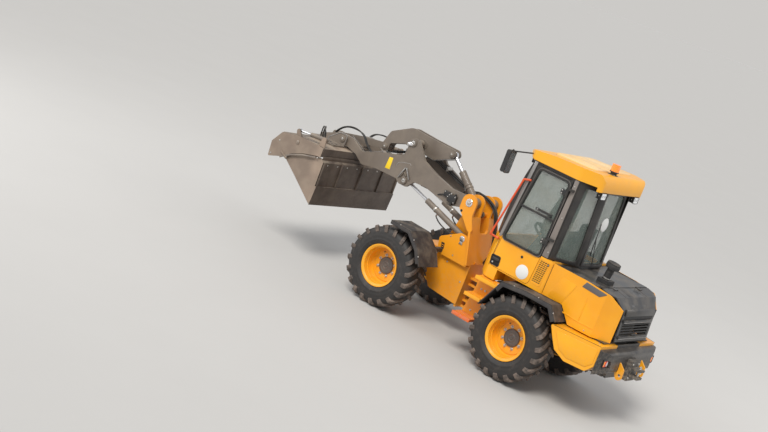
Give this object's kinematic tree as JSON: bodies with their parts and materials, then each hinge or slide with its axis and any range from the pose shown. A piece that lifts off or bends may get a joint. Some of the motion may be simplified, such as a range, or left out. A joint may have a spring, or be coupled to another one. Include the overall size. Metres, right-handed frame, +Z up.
{
  "type": "articulated wheel loader",
  "caption": "Compact articulated wheel loader with enclosed cab, lift arms, bell crank linkage and a clamshell bucket tipped forward.",
  "frame": {"origin": "on the ground under the middle of the overall box", "axes": "+X forward towards the bucket, +Y to the machine's left, +Z up"},
  "size_m": [5.904, 1.892, 2.95],
  "materials": {
    "tyre": "dusty rubber",
    "yellow": "satin golden yellow paint",
    "cab_grey": "satin grey-brown paint",
    "glass": "lightly tinted glass",
    "dark_grey": "matte dark grey paint",
    "frame_paint": "dusty grey-brown paint",
    "chrome": "polished",
    "cast_iron": "painted rough casting",
    "black_plastic": "matte",
    "seat_fabric": "woven",
    "red_lens": "glossy lens",
    "amber_lens": "glossy lens",
    "red_paint": "satin orange-red paint"
  },
  "bodies": {
    "rear_frame": {"rear_chassis": "frame_paint", "rear_axle": "cast_iron", "rear_drive_shaft": "cast_iron", "engine_block": "cast_iron", "counterweight": "yellow", "rear_bumper": "dark_grey", "tail_lamps": "red_lens", "tow_hitch": "cast_iron", "tow_rings": "cast_iron", "rear_fenders": "dark_grey", "cab_steps": "dark_grey", "cab_tub": "yellow", "cab_frame": "cab_grey", "cab_glass": "glass", "cab_roof": "yellow", "driver_seat": "seat_fabric", "steering_column": "black_plastic", "side_console": "black_plastic", "engine_side_panels": "yellow", "engine_cowl": "dark_grey", "air_intake": "black_plastic", "grab_rails": "red_paint", "mirrors": "black_plastic", "work_lamps": "black_plastic", "beacon": "amber_lens"},
    "front_frame": {"front_frame": "yellow", "front_axle": "cast_iron", "front_drive_shaft": "cast_iron", "front_fenders": "dark_grey"},
    "lift_arm": {"lift_arms": "frame_paint"},
    "bell_crank": {"bell_crank": "frame_paint"},
    "tilt_link": {"tilt_link": "frame_paint"},
    "bucket": {"tool_carrier": "frame_paint", "bucket_back": "frame_paint"},
    "jaw": {"bucket_jaw": "frame_paint"},
    "lift_barrels": {"lift_cylinder_barrel": "frame_paint"},
    "lift_rods": {"lift_cylinder_rod": "chrome"},
    "tilt_barrel": {"tilt_cylinder_barrel": "frame_paint"},
    "tilt_rod": {"tilt_cylinder_rod": "chrome"},
    "steering_barrel": {"steering_cylinder_barrel": "frame_paint"},
    "steering_rod": {"steering_cylinder_rod": "chrome"},
    "jaw_barrels": {"jaw_cylinder_barrel": "frame_paint"},
    "jaw_rods": {"jaw_cylinder_rod": "chrome"},
    "door": {"door_left": "yellow", "door_glass": "glass"},
    "lid": {"engine_lid": "dark_grey", "rear_grille": "black_plastic"},
    "wheel_front_left": {"tyre_front_left": "tyre", "rim_front_left": "yellow"},
    "wheel_front_right": {"tyre_front_right": "tyre", "rim_front_right": "yellow"},
    "wheel_rear_left": {"tyre_rear_left": "tyre", "rim_rear_left": "yellow"},
    "wheel_rear_right": {"tyre_rear_right": "tyre", "rim_rear_right": "yellow"}
  },
  "joints": [
    {"name": "steer", "type": "hinge", "parent": "rear_frame", "child": "front_frame", "pos_m": [-0.472, 0, 0.6], "axis": [0, 0, 1], "range_deg": [-40, 40]},
    {"name": "lift", "type": "hinge", "parent": "front_frame", "child": "lift_arm", "pos_m": [-0.017, 0, 1.715], "axis": [0, -1, 0], "range_deg": [-40, 44]},
    {"name": "bucket_tilt", "type": "hinge", "parent": "lift_arm", "child": "bucket", "pos_m": [2.262, 0, 1.701], "axis": [0, 1, 0], "range_deg": [-135, 0]},
    {"name": "crank", "type": "hinge", "parent": "lift_arm", "child": "bell_crank", "pos_m": [1.149, 0, 2.088], "axis": [0, 1, 0], "range_deg": [-1, 52]},
    {"name": "link", "type": "hinge", "parent": "bucket", "child": "tilt_link", "pos_m": [2.60939, 0, 1.65835], "axis": [0, 1, 0], "range_deg": [-1, 91]},
    {"name": "jaw_open", "type": "hinge", "parent": "bucket", "child": "jaw", "pos_m": [2.507, 0, 1.496], "axis": [0, -1, 0], "range_deg": [0, 60]},
    {"name": "tilt_barrel_swing", "type": "hinge", "parent": "front_frame", "child": "tilt_barrel", "pos_m": [-0.052, 0, 1.58], "axis": [0, -1, 0], "range_deg": [-40, 44]},
    {"name": "tilt_rod_slide", "type": "slide", "parent": "tilt_barrel", "child": "tilt_rod", "axis": [0.783, 0, 0.622], "range_m": [-0.01, 0.43]},
    {"name": "lift_barrel_swing", "type": "hinge", "parent": "front_frame", "child": "lift_barrels", "pos_m": [-0.092, 0, 1.237], "axis": [0, -1, 0], "range_deg": [-40, 44]},
    {"name": "lift_rod_slide", "type": "slide", "parent": "lift_barrels", "child": "lift_rods", "axis": [0.9624, 0, 0.2717], "range_m": [-0.34, 0.34]},
    {"name": "steering_barrel_swing", "type": "hinge", "parent": "rear_frame", "child": "steering_barrel", "pos_m": [-1.032, -0.215, 0.62], "axis": [0, 0, 1], "range_deg": [-12, 12]},
    {"name": "steering_rod_slide", "type": "slide", "parent": "steering_barrel", "child": "steering_rod", "axis": [1, 0, 0], "range_m": [-0.18, 0.18]},
    {"name": "jaw_barrel_swing", "type": "hinge", "parent": "bucket", "child": "jaw_barrels", "pos_m": [2.112, 0, 1.686], "axis": [0, -1, 0], "range_deg": [-15, 15]},
    {"name": "jaw_rod_slide", "type": "slide", "parent": "jaw_barrels", "child": "jaw_rods", "axis": [0.9956, 0, -0.0933], "range_m": [-0.2, 0.02]},
    {"name": "door_hinge", "type": "hinge", "parent": "rear_frame", "child": "door", "pos_m": [-1.48, 0.742, 2], "axis": [0, 0, 1], "range_deg": [0, 100]},
    {"name": "lid_hinge", "type": "hinge", "parent": "rear_frame", "child": "lid", "pos_m": [-2.322, 0, 1.606], "axis": [0, 1, 0], "range_deg": [0, 60]},
    {"name": "wheel_front_left_spin", "type": "hinge", "parent": "front_frame", "child": "wheel_front_left", "pos_m": [0.578, 0.715, 0.5394], "axis": [0, 1, 0], "continuous": true},
    {"name": "wheel_front_right_spin", "type": "hinge", "parent": "front_frame", "child": "wheel_front_right", "pos_m": [0.578, -0.715, 0.5394], "axis": [0, 1, 0], "continuous": true},
    {"name": "wheel_rear_left_spin", "type": "hinge", "parent": "rear_frame", "child": "wheel_rear_left", "pos_m": [-1.522, 0.715, 0.5394], "axis": [0, 1, 0], "continuous": true},
    {"name": "wheel_rear_right_spin", "type": "hinge", "parent": "rear_frame", "child": "wheel_rear_right", "pos_m": [-1.522, -0.715, 0.5394], "axis": [0, 1, 0], "continuous": true}
  ],
  "couplings": [
    {"joint": "crank", "follows": "bucket_tilt", "ratio": -0.38452},
    {"joint": "link", "follows": "bucket_tilt", "ratio": -0.66564},
    {"joint": "tilt_barrel_swing", "follows": "lift", "ratio": 0.88},
    {"joint": "tilt_rod_slide", "follows": "bucket_tilt", "m_per_rad": -0.1783},
    {"joint": "lift_barrel_swing", "follows": "lift", "ratio": 0.858},
    {"joint": "lift_rod_slide", "follows": "lift", "m_per_rad": 0.41},
    {"joint": "steering_barrel_swing", "follows": "steer", "ratio": 0.1},
    {"joint": "steering_rod_slide", "follows": "steer", "m_per_rad": 0.2193},
    {"joint": "jaw_barrel_swing", "follows": "jaw_open", "ratio": -0.04422},
    {"joint": "jaw_rod_slide", "follows": "jaw_open", "m_per_rad": -0.15957}
  ]
}
